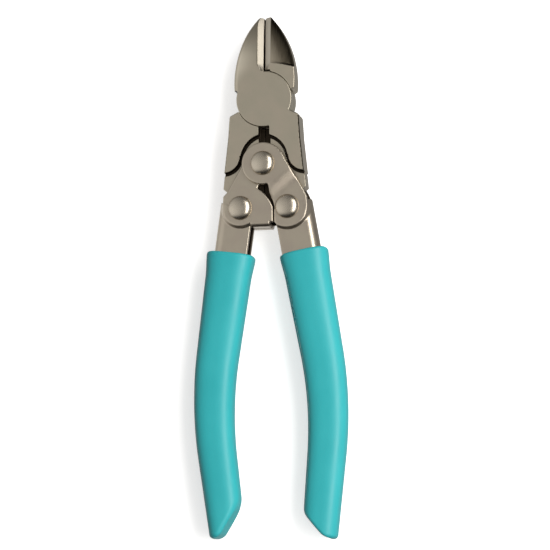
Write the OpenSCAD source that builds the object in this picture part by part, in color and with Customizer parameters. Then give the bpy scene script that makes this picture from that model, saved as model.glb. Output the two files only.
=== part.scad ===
// Mosaic glass nippers: compound-lever cutters with two lap-jointed jaws, pressed-steel
// channel handles linked by three domed rivets, and vinyl grip sleeves.
// Lengths are millimetres. The tool lies on its back with the jaws closed: +Z is the front
// face, +Y runs towards the jaw tips, and the origin is below the middle of its bounding box.
// The sub-parts are drawn in the mechanism frame, whose origin is the main jaw pivot on the
// middle plane of the tool, and are then lifted into place by on_bench().

/* [Mechanism] */
// Distance from the main pivot down to the centre rivet
centre_drop = 25.8; // [24:0.1:28]
// Distance from the main pivot down to the two tail rivets
tail_drop = 42.7; // [41:0.1:44]
// Sideways distance from the middle plane to each tail rivet
tail_reach = 9.2; // [9:0.1:9.6]

/* [Jaws] */
// Full thickness of the forged jaws
jaw_t = 9.5; // [9:0.1:11]
// Thickness of the jaw tails between the handle ears
tail_t = 6.3; // [6:0.1:6.6]
// Radius of the round lap joint
lap_r = 10.9; // [10.5:0.1:11.2]
// Distance from the main pivot to the jaw tips
tip_y = 32.8; // [31:0.1:36]
// Widest half width of the closed blades
blade_w = 12.15; // [11.5:0.05:12.8]
// Radius of the curved outer edge of each blade
blade_edge_r = 38.2; // [36:0.1:42]
// Width of the ground bevel along each cutting edge
bevel_w = 2.6; // [1.5:0.1:3]
// Depth of the ground bevel where it meets the cutting edge
bevel_depth = 1.25; // [0.8:0.05:2]
// Radius of the main pivot pin
pivot_r = 3.2; // [2.5:0.1:4]

/* [Handles] */
// Sheet thickness of the handle channels
sheet_t = 1.8; // [1.5:0.1:1.9]
// Outside depth of the handle channels
channel_t = 7.8; // [7.6:0.1:8.6]
// Outward splay of the left handle, in degrees
left_splay = 7.55; // [6:0.05:10]
// Outward splay of the right handle, in degrees
right_splay = 10.2; // [8:0.05:12]
// Radius of the inward bow of the handles
bow_r = 148.6; // [130:0.1:180]
// Angle through which the bow turns, in degrees
bow_turn = 15.2; // [10:0.1:18]

/* [Rivets] */
// Radius of the rivet shanks
shank_r = 2.5; // [2:0.1:2.8]
// Radius of the domed rivet heads
head_r = 4.7; // [4:0.1:4.8]
// Height of the domed rivet heads
head_h = 2.4; // [1.5:0.1:3]

/* [Grips] */
// Width of each grip sleeve at its mouth
grip_w = 18.8; // [18:0.1:20]
// Loss of width from the mouth to the end of the sleeve
grip_taper = 5; // [3:0.1:6]
// Depth of each grip sleeve, front to back
grip_t = 13.4; // [12.5:0.1:15]
// Length of each grip sleeve along the handle
grip_len = 110.6; // [100:0.1:115]

/* [Hidden] */
$fn = 64;

half_jaw = jaw_t / 2;
half_tail = tail_t / 2;
half_channel = channel_t / 2;
side_gap = 0.1;          // face clearance between layers that slide on each other
run_gap = 0.05;          // radial clearance of a running fit
lap_gap = 0.12;          // radial clearance round the lap joint
edge_gap = 0.06;         // half the gap between the closed cutting edges and tail faces
slit_w = 0.3;            // half the slit between the bevels, above and below the cutting edge
open_pivot_gap = 0.45;   // extra radius where the linkage loop closes

C = [0, -centre_drop];
A = [-tail_reach, -tail_drop];
B = [tail_reach, -tail_drop];

low_in = half_tail + side_gap;        // ear layer lying on the tails
low_out = low_in + sheet_t;
high_in = low_out + side_gap;         // outer ear layer over the centre rivet
high_out = high_in + sheet_t;

// shoulders and tails
shoulder_top = [13.7, -5.9];
shoulder_mid = [14.2, -15];
shoulder_low = [15.5, -27];
tail_corner = [16.3, -34.75];
tail_step = [13.3, -37.2];
tail_end_r = 6.5;
throat_y = 11.3;
blade_foot_y = 3.7;
blade_foot_r = 0.8;
web_t = 3;               // thin web at the bottom of the slot between the shoulders
slot_half = 2.1;
spacer_r = 4.6;
pocket_r = 5.1;

// ears
outer_ear_r = 8.3;
inner_ear_r = 7.4;
boss_r = [6.9, 7.9];     // raised bosses round the left and right tail rivets
edge_lean = [28.2, 30.2];  // slope of the ears' straight outer edges
ear_right = 3.7;         // right-hand edge of the wide ear
ear_bottom = -48.5;
tab_from = -5.3;
tab_to = 2.3;
tab_y = -50.1;
ramp_from = 7.7;         // distance from the centre rivet where the outer ear starts to step down
ramp_len = 6.4;
ramp_lean = 40;          // direction of the step, in degrees from the long axis

// handle axis: straight, then a bow, then straight again
mouth_x = [13.5, 14.46];
mouth_y = -58.5;
bar_out = [6.6, 6.9];
bar_in = [6.9, 7.9];
bow_start = 40.8;
bow_end = bow_start + bow_r * bow_turn * PI / 180;
bar_top = -18.6;
wall_top = [17.6, -39.5];  // upper end of the channel's outer wall, which is the opening stop
wall_lean = [1, 0.5];
grip_start = 1.2;
grip_end = [grip_len, grip_len + 1.0];
grip_neck = 0.5;         // narrowing of each side of the sleeve behind its mouth
tip_cut = [11.5, 8.8];   // length of the slanting cut at the end of each grip
tip_step = 9.2;          // width taken off the inner side by the slanting cut

// placing the mechanism frame on the bench
bench_z = high_out + head_h;
back_y = 67.9;
middle_x = -1.85;

module on_bench() translate([middle_x, back_y, bench_z]) children();

function arc(c, r, a0, a1, n) = [for (i = [0:n]) let (a = a0 + (a1 - a0) * i / n)
                                 c + r * [cos(a), sin(a)]];

module slab(z0, z1) translate([0, 0, z0]) linear_extrude(z1 - z0) children();

module both_faces() {
    children();
    mirror([0, 0, 1]) children();
}

module disc_at(p, r, z0, z1) translate([p.x, p.y, z0]) cylinder(r = r, h = z1 - z0);

// ---------------------------------------------------------------- jaws

// Half outline of the closed blades, on the left of the cutting line
module blade_2d() {
    c = [blade_edge_r - blade_w, 7.5];
    a_tip = 180 - asin((tip_y - c.y) / blade_edge_r);
    polygon(concat(
        [[-edge_gap, 0], [-edge_gap, throat_y + 1.2], [-0.9, throat_y + 1.2],
         [-edge_gap, throat_y + 1.8], [-edge_gap, tip_y - 0.5], [-0.8, tip_y]],
        arc(c, blade_edge_r, a_tip, 180, 14),
        arc([-blade_w, blade_foot_y] + blade_foot_r * [1, 1], blade_foot_r, 180, 270, 6),
        [[-8, blade_foot_y - 1.5], [-8, 0]]));
}

// Shoulder and tail on the right, out to the full reach of the tail
module tail_2d() {
    difference() {
        union() {
            polygon(concat(
                [[edge_gap, -4], [9, -4], [10, -4.5]],
                arc(shoulder_top + [-1.3, -1.3], 1.3, 75, 5, 4),
                [shoulder_mid, shoulder_low, tail_corner, tail_step],
                [B + tail_end_r * [cos(35), sin(35)], B, B + tail_end_r * [-cos(10), sin(10)],
                 [edge_gap, -37.5]]));
            translate(B) circle(tail_end_r);
        }
        translate(C) circle(pocket_r);
        translate(C + [-2.2, -1.6]) circle(pocket_r);
    }
}

// Part of the shoulder that has the full jaw thickness: bounded below by an S-shaped edge
module shoulder_2d() {
    difference() {
        intersection() {
            tail_2d();
            union() {
                translate([slot_half, -22.2]) square([16 - slot_half, 30]);
                translate([16, -22.2]) circle(6.5);
                translate([16, -28.7]) square([4, 30]);
            }
        }
        translate([-0.7, -23.8]) circle(10);
    }
}

// Side profile of a blade: full thickness at the joint, a little thinner at the tip
module blade_profile() {
    rotate([90, 0, -90]) translate([0, 0, -20]) linear_extrude(40)
        polygon([[2, -half_jaw], [-14, -half_jaw], [-tip_y - 1, -half_jaw + 0.8],
                 [-tip_y - 1, half_jaw - 0.8], [-14, half_jaw], [2, half_jaw]]);
}

// Wedge removed to grind one bevel along the cutting edge
module bevel_cut() {
    translate([0, tip_y + 1, 0]) rotate([90, 0, 0]) linear_extrude(tip_y + 1 - throat_y)
        polygon([[0.3, 0.15], [-edge_gap, 0.15], [-slit_w, half_jaw - bevel_depth],
                 [-bevel_w, half_jaw], [-bevel_w, half_jaw + 1], [0.3, half_jaw + 1]]);
}

// One jaw: blade on the left, lap disc at the front, tail on the right
module jaw() {
    difference() {
        union() {
            difference() {
                union() {
                    intersection() {
                        slab(-half_jaw, half_jaw) blade_2d();
                        blade_profile();
                    }
                    slab(-half_jaw, half_jaw) shoulder_2d();
                    slab(-half_tail, half_tail) intersection() {
                        tail_2d();
                        translate([slot_half, -60]) square([20, 60]);
                    }
                    slab(-half_tail, half_tail) intersection() {
                        tail_2d();
                        translate([0, -60]) square([20, 60 - 31]);
                    }
                    slab(-web_t / 2, web_t / 2) intersection() {
                        tail_2d();
                        translate([0, -31.5]) square([slot_half + 1, 25]);
                    }
                }
                disc_at([0, 0], lap_r + lap_gap, -half_jaw - 1, side_gap / 2);
                both_faces() bevel_cut();
            }
            disc_at([0, 0], lap_r, side_gap / 2, half_jaw);
        }
        disc_at([0, 0], pivot_r + run_gap, -half_jaw - 1, half_jaw + 1);
        disc_at(B, shank_r + run_gap, -half_jaw - 1, half_jaw + 1);
    }
}

module front_jaw() { color("silver") on_bench() jaw(); }
module rear_jaw() { color("silver") on_bench() rotate([0, 180, 0]) jaw(); }

module jaw_pivot_pin() {
    color("silver") on_bench() disc_at([0, 0], pivot_r, -half_jaw, half_jaw);
}

// ---------------------------------------------------------------- handles

// Axis of a right-hand handle in its own frame, running down from the grip mouth
function bow_at(s) = min(max(s - bow_start, 0), bow_end - bow_start) / bow_r * 180 / PI;
function axis_at(s) =
    let (a = bow_at(s), past = max(s - bow_end, 0))
    [-bow_r * (1 - cos(a)) - past * sin(a),
     -min(s, bow_start) - bow_r * sin(a) - past * cos(a)];
function outward(s) = let (a = bow_at(s)) [cos(a), -sin(a)];

// Places a right-hand shape as the left (0) or right (1) handle
module on_side(k) {
    mirror([1 - k, 0, 0]) translate([mouth_x[k], mouth_y, 0])
        rotate(k == 0 ? left_splay : right_splay) children();
}

// Taper of the steel bar inside the sleeve
bar_end = grip_len - 15;
function bar_shrink(s) = max(s - grip_start, 0) / grip_len * grip_taper / 2;
bar_steps = [bar_top, 0, 20, 40, for (i = [1:8]) bow_start + (bow_end - bow_start) * i / 8,
             bar_end];

module bar_2d(k, out_w, in_w) {
    polygon(concat(
        [for (s = bar_steps) axis_at(s) + outward(s) * (out_w - bar_shrink(s))],
        [for (i = [len(bar_steps) - 1:-1:0]) let (s = bar_steps[i])
         axis_at(s) - outward(s) * (in_w - bar_shrink(s))]));
}

// Channel: two flanges joined by the outer wall, open towards the middle of the tool
module channel(k, tail_rivet) {
    difference() {
        both_faces() slab(half_channel - sheet_t, half_channel) difference() {
            on_side(k) bar_2d(k, bar_out[k], bar_in[k]);
            translate([-30, tail_rivet.y]) square([60, 40]);
            translate(tail_rivet) circle(boss_r[k] - 0.2);
        }
    }
    slab(-half_channel, half_channel) intersection() {
        on_side(k) difference() {
            bar_2d(k, bar_out[k], 0);
            bar_2d(k, bar_out[k] - sheet_t, 4);
        }
        mirror([1 - k, 0]) polygon([[0, -200], [40, -200], wall_top + 20 * wall_lean,
                                    wall_top - 20 * wall_lean]);
    }
}

// Sloping skirt that carries an ear down to the channel round its tail rivet
module boss_skirt(k, tail_rivet) {
    r = boss_r[k];
    intersection() {
        translate(tail_rivet) rotate_extrude()
            polygon([[r - 0.3, low_in], [r - 0.3, low_out], [r, low_out],
                     [r + 1, half_channel], [r + 2, half_channel],
                     [r + 2, half_channel - sheet_t], [r + 1, half_channel - sheet_t],
                     [r, low_in]]);
        slab(0, half_jaw + 2) on_side(k) bar_2d(k, bar_out[k], bar_in[k]);
    }
}

// Wide ear of the inner fork: centre rivet, left tail rivet and the lower sector
module inner_ear_2d() {
    lean = [-cos(edge_lean[0]), sin(edge_lean[0])];
    sector_c = [-12, -49];
    sector_r = 16.9;
    translate(C) circle(inner_ear_r);
    translate(A) circle(boss_r[0]);
    polygon([C + inner_ear_r * lean, [-14.2, -36.1], [-16, -38], [-16.1, -41.5], A,
             [-4, -38], [-2.4, -35.3], [-1.4, -33], C]);
    intersection() {
        translate(sector_c) circle(sector_r);
        translate([A.x, ear_bottom]) square([ear_right - A.x, 14.5]);
    }
}

// Narrow ear of the outer fork: centre rivet and right tail rivet
module outer_ear_2d() {
    lean = [cos(edge_lean[1]), sin(edge_lean[1])];
    translate(C) circle(outer_ear_r);
    intersection() {
        translate(B) circle(boss_r[1]);
        translate([4.4, -60]) square(40);
    }
    polygon([C + outer_ear_r * lean, [15.7, -36.3], [16.9, -38.9], [16.9, -43], B,
             [4.4, -45], [4.4, -43.5], [3.6, -40.5], [2.5, -37.5], [2.1, -34], C]);
}

// The outer ear steps down from the centre rivet to the tail rivet
module outer_ear() {
    intersection() {
        slab(low_in, high_out) outer_ear_2d();
        translate(C) rotate([90, 0, ramp_lean - 90]) translate([0, 0, -30]) linear_extrude(60)
            polygon([[-12, high_in], [-12, high_out], [ramp_from, high_out],
                     [ramp_from + ramp_len, low_out], [40, low_out], [40, low_in],
                     [ramp_from - 0.3 + ramp_len, low_in], [ramp_from - 0.3, high_in]]);
    }
}

// Tabs folded in from the bottom edges of the wide ears, meeting at a seam on the middle plane
module tie_tabs() {
    seam = 0.3;
    both_faces() translate([tab_from, tab_y, seam / 2])
        cube([tab_to - tab_from, sheet_t, low_out - seam / 2]);
}

module left_handle() {
    color("silver") on_bench() difference() {
        union() {
            channel(0, A);
            both_faces() {
                slab(low_in, low_out) inner_ear_2d();
                boss_skirt(0, A);
            }
            tie_tabs();
        }
        disc_at(A, shank_r, -20, 20);
        disc_at(C, shank_r + open_pivot_gap, -20, 20);
    }
}

module right_handle() {
    color("silver") on_bench() difference() {
        union() {
            channel(1, B);
            both_faces() {
                outer_ear();
                boss_skirt(1, B);
            }
        }
        disc_at(B, shank_r, -20, 20);
        disc_at(C, shank_r, -20, 20);
    }
}

// ---------------------------------------------------------------- rivets and spacer

// Shank with a domed head on each end; seat is the height of the ears' outer face
module rivet(p, seat) {
    dome_r = (head_r * head_r + head_h * head_h) / (2 * head_h);
    color("gainsboro") on_bench() translate([p.x, p.y, 0]) {
        cylinder(r = shank_r, h = 2 * seat + 0.2, center = true);
        both_faces() intersection() {
            translate([0, 0, seat + head_h - dome_r]) sphere(dome_r);
            translate([0, 0, seat]) cylinder(r = head_r + 1, h = head_h + 1);
        }
    }
}

module centre_rivet() rivet(C, high_out);
module left_rivet() rivet(A, low_out);
module right_rivet() rivet(B, low_out);

// Bush on the centre rivet that keeps the inner ears apart
module centre_spacer() {
    color("silver") on_bench() difference() {
        disc_at(C, spacer_r, -half_tail, half_tail);
        disc_at(C, shank_r, -20, 20);
    }
}

// ---------------------------------------------------------------- grips

function grip_steps(k) =
    [for (i = [0:5]) grip_start + i * (bow_start - grip_start) / 5,
     for (i = [1:7]) bow_start + (bow_end - bow_start) * i / 7,
     for (t = [0.25, 0.5, 0.75]) bow_end + (grip_end[k] - tip_cut[k] - bow_end) * t,
     for (t = [0:5]) grip_end[k] - tip_cut[k] + (tip_cut[k] - 1.2) * t / 5,
     grip_end[k] - 0.4, grip_end[k]];
grip_sides = 20;

// Half width and middle of a sleeve section; the slanting cut takes the inner side away
function neck(t) = let (c = min(max(t, 0), 1)) c * c * (3 - 2 * c);
function grip_half(s) = let (part = (s - grip_start) / (grip_len - grip_start))
    grip_w / 2 - grip_taper / 2 * part - grip_neck * neck((s - 2) / 9) * (1 - 0.5 * part);
function tip_in(k, s) = max(0, s - (grip_end[k] - tip_cut[k])) / tip_cut[k] * tip_step;
function tip_round(k, s) = max(0, s - (grip_end[k] - 1.2)) * 0.8;
function section_half(k, s) = grip_half(s) - tip_in(k, s) / 2 - tip_round(k, s);
function section_mid(k, s) = tip_in(k, s) / 2;
function section_depth(k, s) = (grip_t / 2 - 0.5 * s / grip_len)
                               * (1 - 0.3 * tip_in(k, s) / tip_step) - tip_round(k, s);

// Rounded-square section: between a circle and a rectangle
function blunt(v) = sign(v) * pow(abs(v), 0.72);
function grip_ring(k, s) = [for (j = [0:grip_sides - 1])
    let (a = 360 * j / grip_sides,
         p = axis_at(s) + outward(s) * (section_mid(k, s) + section_half(k, s) * blunt(cos(a))))
    [p.x, p.y, section_depth(k, s) * blunt(sin(a))]];

module grip(k) {
    n = grip_sides;
    rings = len(grip_steps(k));
    points = [for (s = grip_steps(k)) each grip_ring(k, s)];
    sides = [for (i = [0:rings - 2], j = [0:n - 1])
             [i * n + j, i * n + (j + 1) % n, (i + 1) * n + (j + 1) % n, (i + 1) * n + j]];
    mouth = [[for (j = [n - 1:-1:0]) j]];
    end = [[for (j = [0:n - 1]) (rings - 1) * n + j]];
    color("mediumturquoise") on_bench() difference() {
        on_side(k) polyhedron(points, concat(sides, mouth, end));
        slab(-half_channel, half_channel) on_side(k) bar_2d(k, bar_out[k], bar_in[k]);
    }
}

module left_grip() grip(0);
module right_grip() grip(1);

rear_jaw();
front_jaw();
jaw_pivot_pin();
left_handle();
right_handle();
centre_rivet();
left_rivet();
right_rivet();
centre_spacer();
left_grip();
right_grip();
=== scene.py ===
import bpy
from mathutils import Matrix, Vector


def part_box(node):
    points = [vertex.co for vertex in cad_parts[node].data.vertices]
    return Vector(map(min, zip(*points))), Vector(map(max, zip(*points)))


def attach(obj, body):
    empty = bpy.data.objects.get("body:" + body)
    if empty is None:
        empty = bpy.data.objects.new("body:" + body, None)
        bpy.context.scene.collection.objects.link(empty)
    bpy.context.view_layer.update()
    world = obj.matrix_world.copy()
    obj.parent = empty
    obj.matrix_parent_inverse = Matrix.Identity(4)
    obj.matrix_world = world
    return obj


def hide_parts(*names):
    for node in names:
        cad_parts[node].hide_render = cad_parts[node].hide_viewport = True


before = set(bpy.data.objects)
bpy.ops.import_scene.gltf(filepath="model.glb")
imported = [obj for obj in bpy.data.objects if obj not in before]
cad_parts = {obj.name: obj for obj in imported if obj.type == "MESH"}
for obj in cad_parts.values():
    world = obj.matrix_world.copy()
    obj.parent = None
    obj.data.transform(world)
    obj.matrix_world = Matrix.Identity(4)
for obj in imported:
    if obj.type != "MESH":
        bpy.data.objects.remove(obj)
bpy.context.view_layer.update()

import math

import bpy
import numpy as np
import openvdb
from mathutils import Matrix, Vector

# Mosaic glass nippers. Shapes are drawn as distance fields in the mechanism frame, in
# millimetres: the origin is the main jaw pivot on the middle plane, +y runs to the jaw tips
# and +z is the front face. place() takes them to the row frame, in metres.

# ---------------------------------------------------------------- driving dimensions
PIN_LOW, PIN_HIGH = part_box("jaw_pivot_pin")
ORIGIN = np.array((PIN_LOW + PIN_HIGH) / 2) * 1000.0

# pivots: the rivet that joins the handles, and the rivet in the tail of each jaw
CENTRE = (0.0, -25.8)
LEFT = (-9.2, -42.7)
RIGHT = (9.2, -42.7)

# jaws: half thicknesses, and the lap joint
JAW_HALF = 4.75
TAIL_HALF = 3.15
WEB_HALF = 1.5
LAP_R = 10.9
LAP_GAP = 0.12
LAP_LEVEL = 0.05
PIVOT_R = 3.2
PIN_END = JAW_HALF - 0.9
PIN_HOLE_END = JAW_HALF - 0.8
EDGE_GAP = 0.06

# blade: an arc of radius BLADE_R from the foot to the tip, with ground bevels along the edge
TIP_Y = 32.8
BLADE_W = 12.15
BLADE_R = 38.2
BLADE_MID = (BLADE_R - BLADE_W, 7.5)
FOOT_Y, FOOT_R = 3.7, 0.8
THROAT_Y = 11.3
BEVEL_W = 2.6
BEVEL_DEPTH = 1.25
BEVEL_RUN = 2.7
SLIT_W, SLIT_HALF = 0.3, 0.15

# shoulder and tail: corners of the outline from the top down
SHOULDER_TOP, SHOULDER_R = (13.7, -5.9), 1.3
SHOULDER_MID = (14.2, -15.0)
SHOULDER_LOW = (15.5, -27.0)
TAIL_CORNER = (16.3, -34.75)
TAIL_STEP = (13.3, -37.2)
TAIL_END_R = 6.5
TAIL_INNER_Y = -37.5
SLOT_HALF = 2.1
SLOT_LOW = -31.5
POCKET_R = 5.1
S_DROP_Y, S_DROP_R = -22.2, 6.5
S_GROOVE, S_GROOVE_R = (-0.7, -23.8), 10.0

# rivets
SHANK_R = 2.5
HEAD_R = 4.7
HEAD_H = 2.4

# handles: sheet, levels of the inner and outer ears, bosses, ramp and tab
SHEET = 1.8
CHANNEL_HALF = 3.9
CHANNEL_BEND = 3.7
LOW_IN, LOW_OUT = 3.25, 5.05
HIGH_IN, HIGH_OUT = 5.15, 6.95
CENTRE_PLAY = 0.45
OUTER_EAR_R, INNER_EAR_R = 8.3, 7.4
BOSS_R = (6.9, 7.9)
EDGE_LEAN = (28.2, 30.2)
EAR_RIGHT, EAR_BOTTOM = 3.7, -48.5
TAB = (-5.3, 2.3, -50.1, -48.3)
TAB_SEAM = 0.15
RAMP_FROM, RAMP_LEN, RAMP_LEAN = 7.7, 6.4, 40.0

# bars and sleeves, as (left, right) where they differ: the axis starts at the sleeve's mouth,
# runs straight, then bends inwards
MOUTH_X = (13.5, 14.46)
MOUTH_Y = -58.5
SPLAY = (7.55, 10.2)
BOW_R, BOW_TURN, BOW_START = 148.6, math.radians(15.2), 40.8
BOW_END = BOW_START + BOW_R * BOW_TURN
BAR_OUT = (6.6, 6.9)
BAR_IN = (6.9, 7.9)
BAR_TOP = -18.6
WALL_TOP = (17.6, -39.5)
WALL_LEAN = (1.0, 0.5)
GRIP_W, GRIP_TAPER, GRIP_T, GRIP_THINNING = 18.8, 5.0, 13.4, 0.5
GRIP_LEN, GRIP_START, GRIP_NECK, GRIP_NECK_RUN = 110.6, 1.2, 0.5, 9.0
GRIP_POWER = 2 / 0.72
GRIP_END = (110.6, 111.6)
TIP_CUT, TIP_STEP, TIP_ROUND = (11.5, 8.8), 9.2, (1.8, 1.2)
BAR_END = GRIP_LEN - 15

# distance between sample points: jaws, handles and sleeves
JAW_STEP, HANDLE_STEP, GRIP_STEP = 0.2, 0.25, 0.4

# brightness of the room by direction: across (x), along (y) and by height (z), as polished
# metal reflects it, and as matt surfaces gather it
SHINE_ACROSS = ((-1.0, 0.95), (-0.6, 0.88), (-0.2, 0.62), (0.1, 0.36), (0.4, 0.30), (1.0, 0.42))
SHINE_ALONG = ((-1.0, 0.04), (-0.75, 0.08), (-0.5, 0.85), (-0.3, 1.0), (0.1, 1.0), (0.5, 0.72),
               (1.0, 0.42))
SHINE_HEIGHT = ((-1.0, 1.4), (-0.5, 0.9), (-0.05, 0.6), (0.15, 1.0), (1.0, 1.0))
FILL_ACROSS = ((-1.0, 0.0), (-0.3, 0.12), (0.1, 0.48), (0.5, 0.90), (1.0, 1.3))
FILL_HEIGHT = ((-1.0, 0.25), (-0.05, 0.35), (0.2, 1.0), (1.0, 1.0))
FLOOR_HALF, FLOOR_GLOW = 3.0, 0.60
SOFTBOX_AT, SOFTBOX_SIZE, SOFTBOX_POWER = (0.62, 0.15, 0.76), (0.42, 1.30), 8.0

# camera, one metre from the point it looks at (metres, degrees, millimetres)
CAMERA_AIM = (0.00160, -0.00051, 0.00935)
CAMERA_TURN, CAMERA_TILT = 12.0, -9.5
CAMERA_LENS, CAMERA_SENSOR = 170.7, 36.0


# ---------------------------------------------------------------- distance fields
class Grid:
    """Sample points of one piece: x, y and z are arrays that broadcast against each other."""

    def __init__(self, low, high, step):
        self.low = np.array(low, float)
        self.step = step
        counts = np.ceil((np.array(high, float) - self.low) / step).astype(int) + 1
        axes = [self.low[i] + step * np.arange(counts[i]) for i in range(3)]
        self.x = axes[0].reshape(-1, 1, 1)
        self.y = axes[1].reshape(1, -1, 1)
        self.z = axes[2].reshape(1, 1, -1)
        self.shape = tuple(counts)


def polygon(g, points):
    """Signed distance to a closed outline in the xy plane, negative inside."""
    nearest = np.full((g.shape[0], g.shape[1], 1), np.inf)
    inside = np.zeros(nearest.shape, bool)
    for i in range(len(points)):
        ax, ay = points[i]
        bx, by = points[i - 1]
        ex, ey = bx - ax, by - ay
        length2 = ex * ex + ey * ey
        if length2 < 1e-12:
            continue
        wx, wy = g.x - ax, g.y - ay
        t = np.clip((wx * ex + wy * ey) / length2, 0.0, 1.0)
        nearest = np.minimum(nearest, (wx - ex * t) ** 2 + (wy - ey * t) ** 2)
        above, below = g.y >= ay, g.y < by
        left = ex * wy > ey * wx
        inside ^= (above & below & left) | ~(above | below | left)
    return np.where(inside, -1.0, 1.0) * np.sqrt(nearest)


def circle(g, centre, radius):
    """Signed distance to a round outline in the xy plane."""
    return np.hypot(g.x - centre[0], g.y - centre[1]) - radius


def rectangle(g, x0, x1, y0, y1):
    """Signed distance to a rectangle in the xy plane."""
    dx = np.abs(g.x - (x0 + x1) / 2) - (x1 - x0) / 2
    dy = np.abs(g.y - (y0 + y1) / 2) - (y1 - y0) / 2
    return np.hypot(np.maximum(dx, 0), np.maximum(dy, 0)) + np.minimum(np.maximum(dx, dy), 0)


def both(a, b, r=0.0):
    """Intersection whose convex edge is rounded to radius r."""
    if r <= 0:
        return np.maximum(a, b)
    a, b = a + r, b + r
    return np.hypot(np.maximum(a, 0), np.maximum(b, 0)) + np.minimum(np.maximum(a, b), 0) - r


def either(a, b, r=0.0):
    """Union whose concave corner is filled to radius r."""
    return -both(-a, -b, r)


def cut(a, b, r=0.0):
    """First shape less the second, with the edge between them rounded to radius r."""
    return both(a, -b, r)


def chamfer(a, b, size, lean):
    """Plane that cuts the edge between two surfaces, leaning lean degrees from the second."""
    angle = math.radians(lean)
    return a * math.sin(angle) + b * math.cos(angle) + size


def layer(g, z0, z1):
    """Signed distance to the slab between two levels."""
    return np.abs(g.z - (z0 + z1) / 2) - (z1 - z0) / 2


def arc(centre, radius, start, end, count):
    """Points on a circle from one angle to another, in degrees."""
    angles = np.radians(np.linspace(start, end, count + 1))
    return [(centre[0] + radius * math.cos(a), centre[1] + radius * math.sin(a)) for a in angles]


def smooth_step(t):
    """0 to 1 with level ends, as t passes from 0 to 1."""
    t = np.clip(t, 0.0, 1.0)
    return t * t * (3 - 2 * t)


def sample(field, cells):
    """Trilinear value of an array at points given in cells."""
    top = np.array(field.shape) - 2
    base = np.clip(np.floor(cells).astype(int), 0, top)
    f = np.clip(cells - base, 0.0, 1.0)
    total = 0.0
    for corner in range(8):
        bits = np.array([corner & 1, corner >> 1 & 1, corner >> 2 & 1])
        weight = np.prod(np.where(bits, f, 1 - f), axis=1)
        i = base + bits
        total = total + weight * field[i[:, 0], i[:, 1], i[:, 2]]
    return total


def skin(g, field):
    """Points (mm), faces and outward normals of the surface where the field is zero."""
    field = np.ascontiguousarray(np.broadcast_to(field, g.shape), dtype=np.float32)
    reach = 3.0 * g.step
    volume = openvdb.FloatGrid(reach)
    volume.copyFromArray(np.clip(field, -reach, reach))
    points, triangles, quads = volume.convertToPolygons(0.0, 0.0)
    points = np.asarray(points, float)
    normals = np.empty_like(points)
    for axis in range(3):
        half_cell = np.zeros(3)
        half_cell[axis] = 0.5
        normals[:, axis] = sample(field, points + half_cell) - sample(field, points - half_cell)
    normals /= np.maximum(np.linalg.norm(normals, axis=1, keepdims=True), 1e-9)
    faces = [tuple(f) for f in triangles.tolist()] + [tuple(f) for f in quads.tolist()]
    return points * g.step + g.low, faces, normals


def place(points):
    """Mechanism frame in millimetres to row frame in metres."""
    return (points + ORIGIN) / 1000.0


def build(name, points, faces, normals=None, marks=None):
    """A smooth-shaded mesh object from points in millimetres; marks are its named point values."""
    mesh = bpy.data.meshes.new(name)
    mesh.from_pydata(place(np.asarray(points, float)).tolist(), [], faces)
    mesh.update()
    mesh.polygons.foreach_set("use_smooth", [True] * len(mesh.polygons))
    if normals is not None:
        mesh.normals_split_custom_set_from_vertices(normals.tolist())
    for mark, values in (marks or {}).items():
        layer_of_values = mesh.attributes.new(mark, "FLOAT", "POINT").data
        layer_of_values.foreach_set("value", values.astype(np.float32))
    obj = bpy.data.objects.new(name, mesh)
    bpy.context.scene.collection.objects.link(obj)
    return obj


def soft(value, width=0.2):
    """0 to 1 as value passes from below zero to above it."""
    return np.clip(value / width + 0.5, 0.0, 1.0)


def stand_for(obj, node, body):
    """Puts a visual piece on a body, in place of the CAD node."""
    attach(obj, body)
    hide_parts(node)


# ---------------------------------------------------------------- materials
# pairs of colours that a fine noise mixes, and single tones, of the marked parts of the metal
GROUND_TONES = ((0.34, 0.315, 0.27, 1), (0.40, 0.37, 0.32, 1))
# painted shade: near black, for slots, holes, grooves, the inside of the pressings and some edges
PAINTED_SHADE_TONES = ((0.020, 0.015, 0.010, 1), (0.040, 0.031, 0.022, 1))
# painted sheen: a paler plating
PAINTED_SHEEN_TONE = (0.72, 0.66, 0.54, 1)
# painted shade: a duller plating
PAINTED_DIM_TONE = (0.24, 0.215, 0.17, 1)
MARK_GLOSS = (("ground", 0.40), ("hollow", 0.30), ("dark", 0.5))
VINYL_TONES = ((0.026, 0.435, 0.47, 1), (0.034, 0.475, 0.51, 1))

# hollow-ground face: distances inside the rim between which the painted reflection darkens, and its
# colours
RIM_FADE = (8.0, 1.0)
RIM_STEEL, RIM_BLACK = (0.50, 0.44, 0.34, 1), (0.012, 0.010, 0.007, 1)
RIM_BETWEEN, RIM_BETWEEN_AT = (0.115, 0.098, 0.07, 1), 0.6


def new_material(name):
    material = bpy.data.materials.new(name)
    material.use_nodes = True
    tree = material.node_tree
    return material, tree, tree.nodes["Principled BSDF"]


def add(tree, kind, inputs=None, **settings):
    """A node with its settings; each input is linked to a socket or set to a value."""
    node = tree.nodes.new(kind)
    for key, value in settings.items():
        setattr(node, key, value)
    for key, value in (inputs or {}).items():
        if isinstance(value, bpy.types.NodeSocket):
            tree.links.new(value, node.inputs[key])
        else:
            node.inputs[key].default_value = value
    return node


def noise(tree, coords, scale, detail=2.0, roughness=0.5):
    return add(tree, "ShaderNodeTexNoise",
               {"Vector": coords, "Scale": scale, "Detail": detail, "Roughness": roughness})


def remap(tree, value, low, high, to_low, to_high):
    node = add(tree, "ShaderNodeMapRange",
               {"Value": value, "From Min": low, "From Max": high, "To Min": to_low, "To Max": to_high})
    return node.outputs["Result"]


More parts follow.
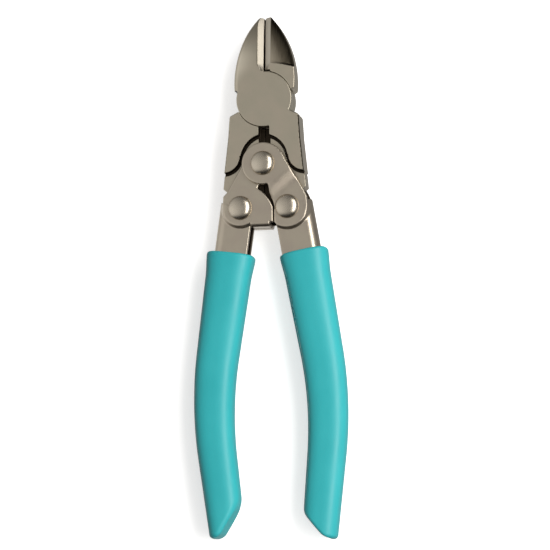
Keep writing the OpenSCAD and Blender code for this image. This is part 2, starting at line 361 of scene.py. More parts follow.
def mix_colour(tree, factor, a, b):
    node = add(tree, "ShaderNodeMix", data_type="RGBA")
    for index, value in ((0, factor), (6, a), (7, b)):
        if isinstance(value, bpy.types.NodeSocket):
            tree.links.new(value, node.inputs[index])
        else:
            node.inputs[index].default_value = value
    return node.outputs[2]


def mark(tree, name):
    return add(tree, "ShaderNodeAttribute", attribute_name=name).outputs["Fac"]


def calc(tree, operation, a, b=0.0, clamp=False):
    return add(tree, "ShaderNodeMath", {0: a, 1: b}, operation=operation, use_clamp=clamp).outputs[0]


def painted_rim_reflection(tree, coords, streaks):
    """Colour of the hollow-ground face, with a painted dark reflection: steel beside the edge, near
    black at the blade's rim.
    """
    origin = ORIGIN / 1000.0
    parts = add(tree, "ShaderNodeSeparateXYZ", {"Vector": coords})
    x = calc(tree, "ABSOLUTE", calc(tree, "ADD", parts.outputs["X"], -float(origin[0])))
    x = calc(tree, "ADD", x, BLADE_MID[0] / 1000.0)
    y = calc(tree, "ADD", parts.outputs["Y"], -float(origin[1]) - BLADE_MID[1] / 1000.0)
    spot = add(tree, "ShaderNodeCombineXYZ", {"X": x, "Y": y}).outputs["Vector"]
    reach = add(tree, "ShaderNodeVectorMath", {0: spot}, operation="LENGTH").outputs["Value"]
    fade_from, fade_to = [(BLADE_R - inside) / 1000.0 for inside in RIM_FADE]
    depth = remap(tree, reach, fade_from, fade_to, 0.0, 1.0)
    depth = calc(tree, "ADD", depth, remap(tree, streaks, 0.3, 0.7, -0.05, 0.05), clamp=True)
    ramp = add(tree, "ShaderNodeValToRGB", {"Fac": depth})
    ramp.color_ramp.elements[0].color = RIM_STEEL
    ramp.color_ramp.elements[1].color = RIM_BLACK
    ramp.color_ramp.elements.new(RIM_BETWEEN_AT).color = RIM_BETWEEN
    return ramp.outputs["Color"]


def metal(name, colour, tint, rough, grain_depth, marked=False):
    """Satin plating: cloudy colour, uneven gloss and a fine grain. On marked pieces the point
    values change it: to ground steel, to hollow-ground steel whose painted reflection darkens
    towards the rim, to near black as painted shade, or to paler plating as painted sheen and
    duller plating as painted shade."""
    material, tree, shader = new_material(name)
    coords = add(tree, "ShaderNodeTexCoord").outputs["Object"]
    clouds = noise(tree, coords, 130.0, 3.0, 0.55).outputs["Fac"]
    patch = remap(tree, clouds, 0.35, 0.65, 0.0, 1.0)
    shade = mix_colour(tree, patch, (*colour, 1), (*tint, 1))
    fine = noise(tree, coords, 4200.0, 2.0, 0.6).outputs["Fac"]
    smear = noise(tree, coords, 600.0, 3.0, 0.6).outputs["Fac"]
    gloss = remap(tree, calc(tree, "ADD", fine, smear), 0.7, 1.3, rough - 0.045, rough + 0.045)
    if marked:
        lay = add(tree, "ShaderNodeMapping", {"Vector": coords, "Scale": (1.0, 0.08, 0.4)})
        streaks = noise(tree, lay.outputs["Vector"], 2200.0, 3.0, 0.6).outputs["Fac"]
        ground = mix_colour(tree, streaks, *GROUND_TONES)
        painted_shade = mix_colour(tree, smear, *PAINTED_SHADE_TONES)
        hollow = painted_rim_reflection(tree, coords, streaks)
        # ground steel is a real finish; the other marks paint light and shade into the colour
        for spot, tone in (("ground", ground), ("painted_sheen", PAINTED_SHEEN_TONE), ("painted_dim", PAINTED_DIM_TONE),
                           ("hollow", hollow), ("dark", painted_shade)):
            shade = mix_colour(tree, mark(tree, spot), shade, tone)
        for spot, level in MARK_GLOSS:
            gloss = add(tree, "ShaderNodeMix", {0: mark(tree, spot), 2: gloss, 3: level},
                        data_type="FLOAT").outputs[0]
    tree.links.new(shade, shader.inputs["Base Color"])
    tree.links.new(gloss, shader.inputs["Roughness"])
    shader.inputs["Metallic"].default_value = 1.0
    bump = add(tree, "ShaderNodeBump", {"Height": fine, "Distance": grain_depth, "Strength": 0.6})
    tree.links.new(bump.outputs["Normal"], shader.inputs["Normal"])
    return material


def vinyl(name):
    """Dipped vinyl: soft sheen, faint mottling and a very fine skin texture."""
    material, tree, shader = new_material(name)
    coords = add(tree, "ShaderNodeTexCoord").outputs["Object"]
    clouds = noise(tree, coords, 45.0, 3.0, 0.5).outputs["Fac"]
    patch = remap(tree, clouds, 0.3, 0.7, 0.0, 1.0)
    colour = mix_colour(tree, patch, *VINYL_TONES)
    tree.links.new(colour, shader.inputs["Base Color"])
    smear = noise(tree, coords, 90.0, 4.0, 0.6).outputs["Fac"]
    tree.links.new(remap(tree, smear, 0.3, 0.7, 0.36, 0.48), shader.inputs["Roughness"])
    shader.inputs["IOR"].default_value = 1.5
    shader.inputs["Subsurface Weight"].default_value = 0.08
    shader.inputs["Subsurface Radius"].default_value = (0.0006, 0.002, 0.002)
    shader.inputs["Subsurface Scale"].default_value = 1.0
    skin_grain = noise(tree, coords, 2600.0, 2.0, 0.6).outputs["Fac"]
    waves = noise(tree, coords, 160.0, 2.0, 0.5).outputs["Fac"]
    first = add(tree, "ShaderNodeBump", {"Height": waves, "Distance": 0.00012, "Strength": 0.5})
    second = add(tree, "ShaderNodeBump",
                 {"Height": skin_grain, "Distance": 0.00002, "Strength": 0.6,
                  "Normal": first.outputs["Normal"]})
    tree.links.new(second.outputs["Normal"], shader.inputs["Normal"])
    return material


JAW_STEEL = metal("satin_nickel", (0.50, 0.445, 0.355), (0.47, 0.43, 0.34), 0.36, 0.000005, True)
SHEET_NICKEL = metal("sheet_nickel", (0.51, 0.455, 0.365), (0.48, 0.42, 0.345), 0.33, 0.000004, True)
RIVET_NICKEL = metal("rivet_nickel", (0.55, 0.495, 0.405), (0.53, 0.475, 0.39), 0.27, 0.0000015)
# near-black steel for the centre spacer: painted shade between the tails
PAINTED_SHADE_STEEL = metal("painted_shade_steel", (0.022, 0.017, 0.012), (0.035, 0.028, 0.02), 0.5, 0.00001)
VINYL = vinyl("teal_vinyl")


# ---------------------------------------------------------------- jaws
def blade_outline():
    tip = 180 - math.degrees(math.asin((TIP_Y - BLADE_MID[1]) / BLADE_R))
    inner_x = -8
    return ([(-EDGE_GAP, 0), (-EDGE_GAP, TIP_Y - 0.5), (-0.8, TIP_Y)]
            + arc(BLADE_MID, BLADE_R, tip, 180, 60)
            + arc((-BLADE_W + FOOT_R, FOOT_Y + FOOT_R), FOOT_R, 180, 270, 10)
            + [(inner_x, FOOT_Y - 1.5), (inner_x, 0)])


def tail_outline():
    """Shoulder and tail; its lower right end is the circle round the rivet."""
    outer, inner = arc(RIGHT, TAIL_END_R, 35, 10, 1)
    return ([(EDGE_GAP, -4), (9, -4), (10, -4.5)]
            + arc((SHOULDER_TOP[0] - SHOULDER_R, SHOULDER_TOP[1] - SHOULDER_R), SHOULDER_R, 75, 5, 8)
            + [SHOULDER_MID, SHOULDER_LOW, TAIL_CORNER, TAIL_STEP, outer, RIGHT,
               (2 * RIGHT[0] - inner[0], inner[1]), (EDGE_GAP, TAIL_INNER_Y)])


def bevel_width(y):
    """Width of the ground bevel, which narrows towards the throat."""
    return BEVEL_W - 1.25 * np.clip((THROAT_Y + BEVEL_RUN - y) / BEVEL_RUN, 0, 1)


def tip_thinning(y):
    """How far each face lies below the jaw's full thickness, growing towards the tip."""
    return 0.8 * np.clip((y - 14) / (TIP_Y - 13), 0, 1) + 0.011 * np.maximum(y - 25, 0) ** 2


def hollow_foot(x):
    """Height of the lower boundary of the hollow-ground face, across the blade."""
    return 14.3 - 0.012 * np.maximum(np.abs(x) - 1.0, 0.0) ** 2 - 0.06 * np.abs(x)


def blade_field(g):
    """Blade with a crowned front, a hollow-ground back and a rounded rim."""
    thinning = tip_thinning(g.y)
    beyond_lap = smooth_step((np.hypot(g.x, g.y) - LAP_R) / 8.0)
    crown = 0.012 * np.maximum(-g.x - 3.0, 0) ** 2 * beyond_lap
    across = np.maximum(np.abs(g.x) - BEVEL_W, 0.0)
    rise = np.clip((g.y - hollow_foot(g.x)) / 1.4, 0, 1)
    hollow = (0.12 + 0.115 * across + 0.010 * across ** 2) * np.sqrt(1 - (1 - rise) ** 2)
    front = g.z - (JAW_HALF - thinning - crown)
    back = -g.z - (JAW_HALF - thinning - hollow)
    outline = polygon(g, blade_outline())
    rim = circle(g, BLADE_MID, BLADE_R)
    blade = np.maximum(outline, np.maximum(both(rim, front, 2.0), both(rim, back * 0.98, 0.35)))
    return np.maximum(blade, both(outline, np.maximum(front, back), 0.25))


def wedge_field(g):
    """What the two bevels and the slit between them take from the cutting edge, both faces."""
    thinning = tip_thinning(g.y)
    slope = BEVEL_DEPTH / (bevel_width(g.y) - SLIT_W)
    level = JAW_HALF - thinning - BEVEL_DEPTH
    shallow = (np.abs(g.z) - level + (g.x + SLIT_W) * slope) / np.sqrt(1 + slope ** 2)
    steep = (JAW_HALF - BEVEL_DEPTH - SLIT_HALF) / (SLIT_W - EDGE_GAP)
    slit = (np.abs(g.z) - SLIT_HALF + (g.x + EDGE_GAP) * steep) / math.sqrt(1 + steep ** 2)
    wedge = np.maximum(-both(shallow, slit), THROAT_Y - g.y)
    return np.maximum(wedge, g.x - 1.0)


def tail_fields(g):
    """Shoulder with its S-shaped lower edge, thinner tail plate, and web in the slot."""
    outside = polygon(g, tail_outline())
    tail = np.minimum(outside, circle(g, RIGHT, TAIL_END_R))
    beside_centre = (CENTRE[0] - 2.2, CENTRE[1] - 1.6)
    tail = cut(tail, np.minimum(circle(g, CENTRE, POCKET_R), circle(g, beside_centre, POCKET_R)))
    drop_x, top_y = 16, 7.8
    drop = np.minimum(circle(g, (drop_x, S_DROP_Y), S_DROP_R),
                      rectangle(g, drop_x, drop_x + 4, S_DROP_Y - S_DROP_R, top_y - S_DROP_R))
    upper = np.minimum(rectangle(g, SLOT_HALF, drop_x, S_DROP_Y, top_y), drop)
    outline = cut(np.maximum(tail, upper), circle(g, S_GROOVE, S_GROOVE_R))
    flat = layer(g, -JAW_HALF, JAW_HALF)
    shoulder = both(outline, flat, 0.12)
    shoulder = np.maximum(shoulder, np.where(g.x > 9.0, chamfer(outside, flat, 0.3, 55), -1.0))
    right_part = np.maximum(tail, rectangle(g, SLOT_HALF, 22, -60, 0))
    low_part = np.maximum(tail, rectangle(g, 0, 20, -60, SLOT_LOW + 0.5))
    plate = both(np.minimum(right_part, low_part), layer(g, -TAIL_HALF, TAIL_HALF), 0.3)
    web = np.maximum(tail, rectangle(g, 0, SLOT_HALF + 1, SLOT_LOW, -6.5))
    web = np.maximum(web, layer(g, -WEB_HALF, WEB_HALF))
    # a narrow relief groove runs along the foot of the shoulder, in the tail's faces
    trench_w, trench_depth = 0.95, 0.75
    trench = np.maximum(np.maximum(outline - trench_w, -outline - 0.3),
                        TAIL_HALF - trench_depth - np.abs(g.z))
    trench = np.maximum(trench, rectangle(g, SLOT_HALF - 1, 17.5, -40, -12))
    return shoulder, cut(plate, trench, 0.12), web


def jaw_field(g):
    shoulder, plate, web = tail_fields(g)
    body = np.minimum(np.minimum(blade_field(g), shoulder), np.minimum(plate, web))
    # room for the other jaw's disc, behind the lap level
    body = cut(body, np.maximum(circle(g, (0, 0), LAP_R + LAP_GAP), g.z - LAP_LEVEL), 0.2)
    body = cut(body, wedge_field(g))
    throat = np.maximum(rectangle(g, -2.4, 0.5, LAP_R - 1.0, THROAT_Y + 0.1), g.z + JAW_HALF - 1.8)
    body = cut(body, throat)
    disc = both(circle(g, (0, 0), LAP_R), layer(g, LAP_LEVEL, JAW_HALF), 0.3)
    body = np.minimum(body, disc)
    body = cut(body, np.maximum(circle(g, (0, 0), PIVOT_R + 0.01), np.abs(g.z) - PIN_HOLE_END))
    return cut(body, circle(g, RIGHT, SHANK_R + 0.05))


def painted_shade_marks(p, n):
    """Where a jaw takes painted shade, near black: slot, rivet's hole, groove under the shoulder, edges,
    cutting edge and throat.
    """
    x, y, z = p.T
    face = np.abs(n[:, 2])
    slot = (x > -0.5) & (x < SLOT_HALF + 0.4) & (y < -LAP_R - 0.1) & (y > SLOT_LOW)
    slot = slot & ((face < 0.97) | (x < SLOT_HALF - 0.05))
    hole = (x < 5.0) & (y < -30.0) & (y > -44.5)
    groove = np.where((y > -32) & (y < -12), soft(0.75 - n[:, 0], 0.2), 0.0)
    wall = groove * np.minimum(soft(0.84 - face, 0.25), soft(np.abs(z) - TAIL_HALF + 0.8))
    trench = groove * soft(TAIL_HALF - 0.2 - np.abs(z), 0.3) * (x < 16)
    edge = np.minimum(soft(n[:, 0] - 0.25, 0.3), soft(face - 0.3, 0.3))
    edge = np.where((z > 0) & (x > 11) & (y < -7) & (y > -29), edge, 0.0)
    cutting_edge = np.minimum(soft(y - THROAT_Y), soft(n[:, 0] - 0.8, 0.2)) * soft(0.3 - face, 0.2)
    throat = (x < -0.3) & (x > -2.7) & (y > LAP_R - 0.6) & (y < THROAT_Y + 0.3)
    throat = throat & (z < -2.5) & (face < 0.9)
    dark = np.maximum(np.maximum(wall, trench), np.maximum((slot | hole).astype(float), edge))
    return np.maximum(np.maximum(dark, cutting_edge), throat)


def jaw_marks(p, n, in_front):
    """Where the jaw is ground and hollow-ground, and where it takes painted shade, painted sheen and
    painted dimness, as point values.
    """
    x, y, z = p.T
    bevel_foot = JAW_HALF - tip_thinning(y) - BEVEL_DEPTH
    bevel = np.minimum(soft(y - THROAT_Y + 0.1), soft(x + bevel_width(y)))
    bevel = np.minimum(bevel, soft(np.abs(z) - bevel_foot + 0.1)) * (x < 0)
    hollow = np.minimum(soft(y - hollow_foot(x) - 0.15), soft(-x - BEVEL_W + 0.05))
    hollow = np.minimum(hollow, soft(-n[:, 2] - 0.45, 0.3))
    dark = painted_shade_marks(p, n)
    # painted sheen makes the front of the blade paler towards its outer edge, and painted shade makes it
    # duller at the tip
    blade = soft(-x - BEVEL_W, 0.4) * soft(n[:, 2] - 0.7, 0.3)
    painted_dim = 0.95 * blade * smooth_step((y - 15.5) / 13.0)
    painted_sheen = blade * smooth_step((-x - 2.0) / 11.0) * smooth_step((np.hypot(x, y) - LAP_R) / 6.0)
    painted_sheen = painted_sheen * (1 - smooth_step((y - 17.0) / 12.0))
    if in_front:
        # painted shade makes this bevel duller, with a dark line along its border, and darkens the
        # underside of the blade's foot
        line = np.clip(1.5 - np.abs(x + bevel_width(y)) / 0.3, 0, 1)
        line = line * soft(y - THROAT_Y - 1.0, 2.0) * soft(n[:, 2] - 0.6, 0.3)
        painted_dim = np.maximum(painted_dim, np.maximum(line, 0.45 * bevel * (1 - line)))
        under = (x < -9.4) & (y < FOOT_Y + 1.0) & (y > 1.5) & (n[:, 1] < -0.35)
        dark = np.maximum(dark, under)
    else:
        # painted sheen makes the other jaw's bevel paler
        painted_sheen = np.maximum(painted_sheen, 0.35 * bevel)
    return {"ground": bevel, "hollow": hollow, "dark": dark, "painted_sheen": painted_sheen, "painted_dim": painted_dim}


jaw_grid = Grid((-13.2, -50.4, -5.6), (17.6, 34.6, 5.6), JAW_STEP)
jaw_points, jaw_faces, jaw_normals = skin(jaw_grid, jaw_field(jaw_grid))

front_marks = jaw_marks(jaw_points, jaw_normals, True)
front = build("front_jaw_forging", jaw_points, jaw_faces, jaw_normals, front_marks)
front.data.materials.append(JAW_STEEL)
stand_for(front, "front_jaw", "front_jaw")

TURN = np.array([-1.0, 1.0, -1.0])   # half a turn about the long axis
rear_marks = jaw_marks(jaw_points, jaw_normals, False)
rear = build("rear_jaw_forging", jaw_points * TURN, jaw_faces, jaw_normals * TURN, rear_marks)
rear.data.materials.append(JAW_STEEL)
stand_for(rear, "rear_jaw", "rear_jaw")


# ---------------------------------------------------------------- turned pieces
def turned(name, profile, centre, segments=96):
    """A solid of revolution about a line along z; profile is a list of (radius, z)."""
    points, faces = [], []
    rings = len(profile)
    for radius, height in profile:
        for j in range(segments):
            a = 2 * math.pi * j / segments
            points.append((centre[0] + radius * math.cos(a), centre[1] + radius * math.sin(a), height))
    for i in range(rings - 1):
        this, above = i * segments, (i + 1) * segments
        for j in range(segments):
            k = (j + 1) % segments
            faces.append((this + j, this + k, above + k, above + j))
    points.append((centre[0], centre[1], profile[0][1]))
    points.append((centre[0], centre[1], profile[-1][1]))
    low, high = len(points) - 2, len(points) - 1
    last = (rings - 1) * segments
    for j in range(segments):
        k = (j + 1) % segments
        faces.append((low, k, j))
        faces.append((high, last + j, last + k))
    piece = build(name, points, faces)
    piece.data.set_sharp_from_angle(angle=math.radians(32))
    return piece


def dome_half(seat):
    """Profile of one domed head and half of the shank, from the middle plane outwards."""
    profile = [(SHANK_R, 0.0), (SHANK_R, seat - 0.02), (HEAD_R - 0.25, seat - 0.02),
               (HEAD_R - 0.08, seat + 0.02), (HEAD_R, seat + 0.16)]
    for a in np.radians(np.linspace(4, 89, 30)):
        profile.append((HEAD_R * math.cos(a) ** 0.92, seat + 0.1 + (HEAD_H - 0.1) * math.sin(a) ** 0.96))
    return profile


def rivet(name, centre, seat, body):
    half = dome_half(seat)
    profile = [(r, -h) for r, h in reversed(half)] + half[1:]
    piece = turned(name + "_forged", profile, centre)
    piece.data.materials.append(RIVET_NICKEL)
    stand_for(piece, name, body)


rivet("centre_rivet", CENTRE, HIGH_OUT, "right_handle")
rivet("left_rivet", LEFT, LOW_OUT, "left_handle")
rivet("right_rivet", RIGHT, LOW_OUT, "right_handle")

PIN_BEVEL = 0.2
pin_profile = [(PIVOT_R - PIN_BEVEL, -PIN_END), (PIVOT_R, PIN_BEVEL - PIN_END),
               (PIVOT_R, PIN_END - PIN_BEVEL), (PIVOT_R - PIN_BEVEL, PIN_END)]
pin = turned("jaw_pivot_pin_ground", pin_profile, (0, 0))
pin.data.materials.append(SHEET_NICKEL)
stand_for(pin, "jaw_pivot_pin", "rear_jaw")


# ---------------------------------------------------------------- handles
def along(g, k):
    """Distance down the axis of a handle, and distance outwards from it, at each point."""
    side = 1 if k else -1
    px, py = g.x * side - MOUTH_X[k], g.y - MOUTH_Y
    a = -math.radians(SPLAY[k])
    hx, hy = px * math.cos(a) - py * math.sin(a), px * math.sin(a) + py * math.cos(a)
    # the bow is an arc about a point BOW_R inwards from the end of the straight part
    turn = np.clip(np.arctan2(-BOW_START - hy, hx + BOW_R), 0, BOW_TURN)
    s_bow = BOW_START + BOW_R * turn
    u_bow = np.hypot(hx + BOW_R, hy + BOW_START) - BOW_R
    ct, st = math.cos(BOW_TURN), math.sin(BOW_TURN)
    ex, ey = -BOW_R * (1 - ct), -BOW_START - BOW_R * st
    s_end = BOW_END + (hx - ex) * -st + (hy - ey) * -ct
    u_end = (hx - ex) * ct - (hy - ey) * st
    straight, past = hy > -BOW_START, s_end > BOW_END
    s = np.where(straight, -hy, np.where(past, s_end, s_bow))
    u = np.where(straight, hx, np.where(past, u_end, u_bow))
    return s, u


def bar_shrink(s):
    """How much nearer to the axis each side of a bar is than at the mouth of its sleeve."""
    return np.maximum(s - GRIP_START, 0) / GRIP_LEN * GRIP_TAPER / 2


def tangent(centre, radius, lean, side):
    """Where an edge that leans so many degrees from the long axis leaves a round end."""
    a = math.radians(lean)
    return (centre[0] + side * radius * math.cos(a), centre[1] + radius * math.sin(a))


def inner_ear(g):
    """Outline of the left handle's ears."""
    outline = polygon(g, [tangent(CENTRE, INNER_EAR_R, EDGE_LEAN[0], -1), (-14.2, -36.1), (-16, -38),
                          (-16.1, -41.5), LEFT, (-4, -38), (-2.4, -35.3), (-1.4, -33), CENTRE])
    sector = np.maximum(circle(g, (-12, -49), 16.9),
                        rectangle(g, LEFT[0], EAR_RIGHT, EAR_BOTTOM, EAR_BOTTOM + 14.5))
    ear = np.minimum(circle(g, CENTRE, INNER_EAR_R), circle(g, LEFT, BOSS_R[0]))
    return np.minimum(either(ear, outline, 0.6), sector)


def outer_ear(g):
    """Outline of the right handle's ears."""
    outline = polygon(g, [tangent(CENTRE, OUTER_EAR_R, EDGE_LEAN[1], 1), (15.7, -36.3), (16.9, -38.9),
                          (16.9, -43), RIGHT, (4.4, -45), (4.4, -43.5), (3.6, -40.5), (2.5, -37.5),
                          (2.1, -34), CENTRE])
    beside_ear = np.minimum(rectangle(g, 4.4, 44, -60, -20), rectangle(g, 4.0, 44, -60, -43.5))
    boss = np.maximum(circle(g, RIGHT, BOSS_R[1]), beside_ear)
    return either(either(circle(g, CENTRE, OUTER_EAR_R), outline, 0.6), boss, 0.5)


def channel_field(g, k, rivet_at, flat_z):
    """Pressed channel, open towards the middle, whose flanges rise to the boss round the rivet."""
    s, u = along(g, k)
    boss = circle(g, rivet_at, BOSS_R[k])
    lift = (LOW_OUT - CHANNEL_HALF) * smooth_step((1.1 - boss) / 1.2)
    out = u - (BAR_OUT[k] - bar_shrink(s))
    up = flat_z - lift - CHANNEL_HALF
    shell = both(out, up, CHANNEL_BEND)
    walls = both(shell, -(shell + SHEET), 0.3)
    mouth = -u - (BAR_IN[k] - bar_shrink(s))
    walls = both(walls, mouth, 0.45)
    ends = np.maximum(s - BAR_END, BAR_TOP - s)
    walls = both(walls, ends, 0.4)
    # it stops at a slanting top edge
    side = 1 if k else -1
    lean = math.hypot(*WALL_LEAN)
    above = ((g.y - WALL_TOP[1]) * WALL_LEAN[0] - (g.x * side - WALL_TOP[0]) * WALL_LEAN[1]) / lean
    return both(walls, above, 0.4)


def handle_field(g, k, rivet_at, ear, low, high):
    """One pressing: the channel and, on both sides, the ear between two levels."""
    flat_z = np.abs(g.z)
    sheet = np.maximum(flat_z - high, low - flat_z)
    return either(channel_field(g, k, rivet_at, flat_z), both(ear, sheet, 0.6), 0.3)


def left_field(g):
    field = handle_field(g, 0, LEFT, inner_ear(g), LOW_IN, LOW_OUT)
    # tabs folded in at the bottom of both ears, which meet at a seam
    tab_left, tab_right, tab_low, tab_high = TAB
    flat_z = np.abs(g.z)
    wide = np.abs(g.x - (tab_left + tab_right) / 2) - (tab_right - tab_left) / 2
    bent = both(tab_low - g.y, flat_z - LOW_OUT, 1.6)
    inner = both(g.y - tab_high, TAB_SEAM - flat_z, 0.2)
    tab = both(wide, np.maximum(bent, inner), 0.5)
    field = either(field, tab, 0.25)
    field = cut(field, circle(g, LEFT, SHANK_R))
    return cut(field, circle(g, CENTRE, SHANK_R + CENTRE_PLAY))


def right_field(g):
    # the ears step down from the outer level to the tail's, along a line that leans
    lean = math.radians(RAMP_LEAN)
    t = (g.x - CENTRE[0]) * math.sin(lean) - (g.y - CENTRE[1]) * math.cos(lean)
    drop = (HIGH_OUT - LOW_OUT) * smooth_step((t - RAMP_FROM) / RAMP_LEN)
    field = handle_field(g, 1, RIGHT, outer_ear(g), HIGH_IN - drop, HIGH_OUT - drop)
    field = cut(field, circle(g, RIGHT, SHANK_R))
    return cut(field, circle(g, CENTRE, SHANK_R))


class Spots:
    """Points with the same x and y fields as a Grid."""

    def __init__(self, points):
        self.x, self.y = points[:, 0], points[:, 1]


def handle_marks(p, n, k):
    """Where the inside of the pressing takes painted shade, near black, as point values."""
    s, u = along(Spots(p), k)
    z = np.abs(p[:, 2])
    inward = -np.sign(p[:, 2]) * n[:, 2]
    inside = np.minimum(soft(inward - 0.5, 0.4), soft(LOW_IN + 1.2 - z))
    wall = soft(CHANNEL_HALF - SHEET + 0.15 - z) * soft(BAR_OUT[k] - bar_shrink(s) - 1.2 - u)
    wall = wall * soft(-52.0 - p[:, 1])
    return {"dark": np.maximum(inside, wall)}


for k, (name, field, low, high) in enumerate((
        ("left_handle", left_field, (-31.5, -156.5, -6.2), (9.2, -17.0, 6.2)),
        ("right_handle", right_field, (-9.5, -157.5, -8.2), (33.5, -16.2, 8.2)))):
    grid = Grid(low, high, HANDLE_STEP)
    points, faces, normals = skin(grid, field(grid))
    piece = build(name + "_pressing", points, faces, normals, handle_marks(points, normals, k))
    piece.data.materials.append(SHEET_NICKEL)
    stand_for(piece, name, name)

SPACER_R, SPACER_HALF = 4.6, TAIL_HALF - 0.02
spacer_half = [(SPACER_R, SPACER_HALF - 0.23), (SPACER_R - 0.2, SPACER_HALF),
               (SHANK_R + 0.02, SPACER_HALF)]
spacer_profile = [(r, -h) for r, h in reversed(spacer_half)] + spacer_half
spacer = turned("centre_spacer_bush", spacer_profile, CENTRE)
spacer.data.materials.append(PAINTED_SHADE_STEEL)
stand_for(spacer, "centre_spacer", "right_handle")


# ---------------------------------------------------------------- grips
def grip_field(g, k):
    """Sleeve of rounded-box section that narrows down its length, hollow where the bar is."""
    s, u = along(g, k)
    part = (s - GRIP_START) / (GRIP_LEN - GRIP_START)
    neck = GRIP_NECK * smooth_step((s - 2) / GRIP_NECK_RUN) * (1 - 0.5 * part)
    half_w = GRIP_W / 2 - GRIP_TAPER / 2 * part - neck
    half_t = GRIP_T / 2 - GRIP_THINNING * s / GRIP_LEN
    a, b = np.abs(u) / half_w, np.abs(g.z) / half_t
    f = np.maximum((a ** GRIP_POWER + b ** GRIP_POWER) ** (1 / GRIP_POWER), 0.05)
    slope = np.hypot((a / f) ** (GRIP_POWER - 1) / half_w, (b / f) ** (GRIP_POWER - 1) / half_t)
    tube = np.maximum((f - 1) / np.maximum(slope, 1e-6), -5.0)
    # slanting cut at the end, and a blunt outer tip
    tip_half = (GRIP_W - GRIP_TAPER - GRIP_NECK) / 2
    slant = (s - (GRIP_END[k] - TIP_CUT[k])) * TIP_STEP - (u + tip_half) * TIP_CUT[k]
    tube = both(tube, slant / math.hypot(TIP_CUT[k], TIP_STEP), TIP_ROUND[k])
    tube = both(tube, s - GRIP_END[k], 1.6)
    tube = both(tube, GRIP_START - s, 1.3)
    # the bar's slot
    wide = np.maximum(u - (BAR_OUT[k] - bar_shrink(s)), -u - (BAR_IN[k] - bar_shrink(s)))
    slot = np.maximum(np.maximum(np.abs(g.z) - CHANNEL_HALF, wide), s - BAR_END - 0.5)
    return cut(tube, slot, 0.5)


for k, (name, body, low, high) in enumerate((
        ("left_grip", "left_handle", (-31.5, -171, -7.6), (-2.0, -56.0, 7.6)),
        ("right_grip", "right_handle", (2.0, -171, -7.6), (34.5, -55.0, 7.6)))):
    grid = Grid(low, high, GRIP_STEP)
    points, faces, normals = skin(grid, grip_field(grid, k))
    piece = build(name + "_sleeve", points, faces, normals)
    piece.data.materials.append(VINYL)
    piece.visible_glossy = False
    stand_for(piece, name, body)


# ---------------------------------------------------------------- floor, lights and camera
def make_floor():
    """Pale, slightly self-lit floor that the object neither mirrors nor is lit by."""
    corners = [(x * FLOOR_HALF, y * FLOOR_HALF, 0) for x, y in ((-1, -1), (1, -1), (1, 1), (-1, 1))]
    mesh = bpy.data.meshes.new("floor")
    mesh.from_pydata(corners, [], [(0, 1, 2, 3)])
    floor = bpy.data.objects.new("floor", mesh)
    bpy.context.scene.collection.objects.link(floor)
    material, tree, shader = new_material("pale_floor")
    coords = add(tree, "ShaderNodeTexCoord").outputs["Object"]
    clouds = noise(tree, coords, 6.0).outputs["Fac"]
    tree.links.new(mix_colour(tree, clouds, (0.93, 0.93, 0.93, 1), (0.95, 0.95, 0.95, 1)),
                   shader.inputs["Base Color"])
    shader.inputs["Roughness"].default_value = 0.9
    shader.inputs["Specular IOR Level"].default_value = 0.1
    shader.inputs["Emission Color"].default_value = (1, 1, 1, 1)
    shader.inputs["Emission Strength"].default_value = FLOOR_GLOW
    mesh.materials.append(material)
    floor.visible_diffuse = False
    floor.visible_glossy = False


def area_light(name, position, target, size, energy, colour):
    """Rectangular light that faces the target, with its long side along y."""
    data = bpy.data.lights.new(name, "AREA")
    data.shape = "RECTANGLE"
    data.size, data.size_y = size
    data.energy = energy
    data.color = colour
    obj = bpy.data.objects.new(name, data)
    facing = (Vector(position) - Vector(target)).normalized()
    long_axis = (Vector((0, 1, 0)) - facing * facing.y).normalized()
    frame_of_light = Matrix((long_axis.cross(facing), long_axis, facing)).transposed().to_4x4()
    frame_of_light.translation = position
    obj.matrix_world = frame_of_light
    bpy.context.scene.collection.objects.link(obj)


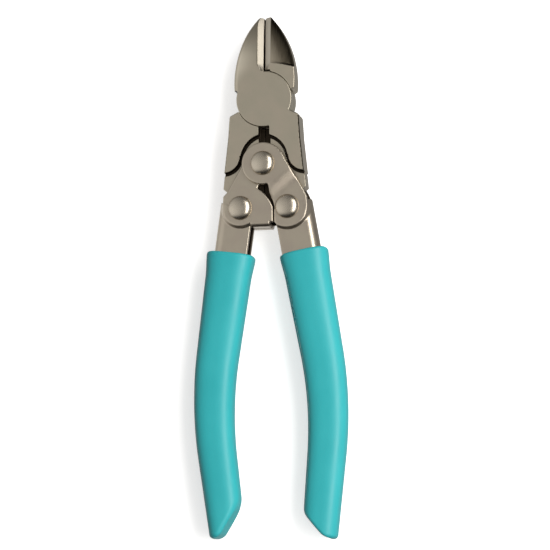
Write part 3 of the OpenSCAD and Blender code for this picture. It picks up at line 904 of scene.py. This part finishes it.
def profile(tree, value, stops):
    """Piecewise-linear brightness over -1..1, from (position, brightness) pairs."""
    fac = remap(tree, value, -1.0, 1.0, 0.0, 1.0)
    ramp = add(tree, "ShaderNodeValToRGB", {"Fac": fac})
    elements = ramp.color_ramp.elements
    while len(elements) < len(stops):
        elements.new(0.5)
    for element, (position, level) in zip(elements, stops):
        element.position = (position + 1) / 2
        element.color = (level, level, level, 1)
    return ramp.outputs["Color"]


def make_world():
    """Soft room whose brightness depends on direction, apart for glossy rays and for others."""
    world = bpy.data.worlds.new("studio")
    world.use_nodes = True
    tree = world.node_tree
    background = tree.nodes["Background"]
    direction = add(tree, "ShaderNodeTexCoord").outputs["Generated"]
    x, y, z = add(tree, "ShaderNodeSeparateXYZ", {"Vector": direction}).outputs
    shine = calc(tree, "MULTIPLY", profile(tree, x, SHINE_ACROSS), profile(tree, y, SHINE_ALONG))
    shine = calc(tree, "MULTIPLY", shine, profile(tree, z, SHINE_HEIGHT))
    fill = calc(tree, "MULTIPLY", profile(tree, x, FILL_ACROSS), profile(tree, z, FILL_HEIGHT))
    shiny = add(tree, "ShaderNodeLightPath").outputs["Is Glossy Ray"]
    level = add(tree, "ShaderNodeMix", {0: shiny, 2: fill, 3: shine}, data_type="FLOAT").outputs[0]
    background.inputs["Color"].default_value = (1.0, 0.985, 0.965, 1)
    tree.links.new(level, background.inputs["Strength"])
    bpy.context.scene.world = world


def make_camera():
    """Camera to the right of the tool's front and towards its grips, looking back at it."""
    aim = Vector(CAMERA_AIM)
    turn, tilt = math.radians(CAMERA_TURN), math.radians(CAMERA_TILT)
    back = Vector((math.sin(turn) * math.cos(tilt), math.sin(tilt), math.cos(turn) * math.cos(tilt)))
    right = Vector((0, 1, 0)).cross(back).normalized()
    up = back.cross(right)
    data = bpy.data.cameras.new("camera")
    data.sensor_width = CAMERA_SENSOR
    data.lens = CAMERA_LENS
    data.clip_start, data.clip_end = 0.01, 20.0
    camera = bpy.data.objects.new("camera", data)
    place_at = Matrix((right, up, back)).transposed().to_4x4()
    place_at.translation = aim + back
    camera.matrix_world = place_at
    bpy.context.scene.collection.objects.link(camera)
    bpy.context.scene.camera = camera


make_floor()
make_world()
area_light("right_softbox", SOFTBOX_AT, (0, 0, 0), SOFTBOX_SIZE, SOFTBOX_POWER, (1.0, 0.98, 0.95))
make_camera()
bpy.context.scene.view_settings.view_transform = "Standard"
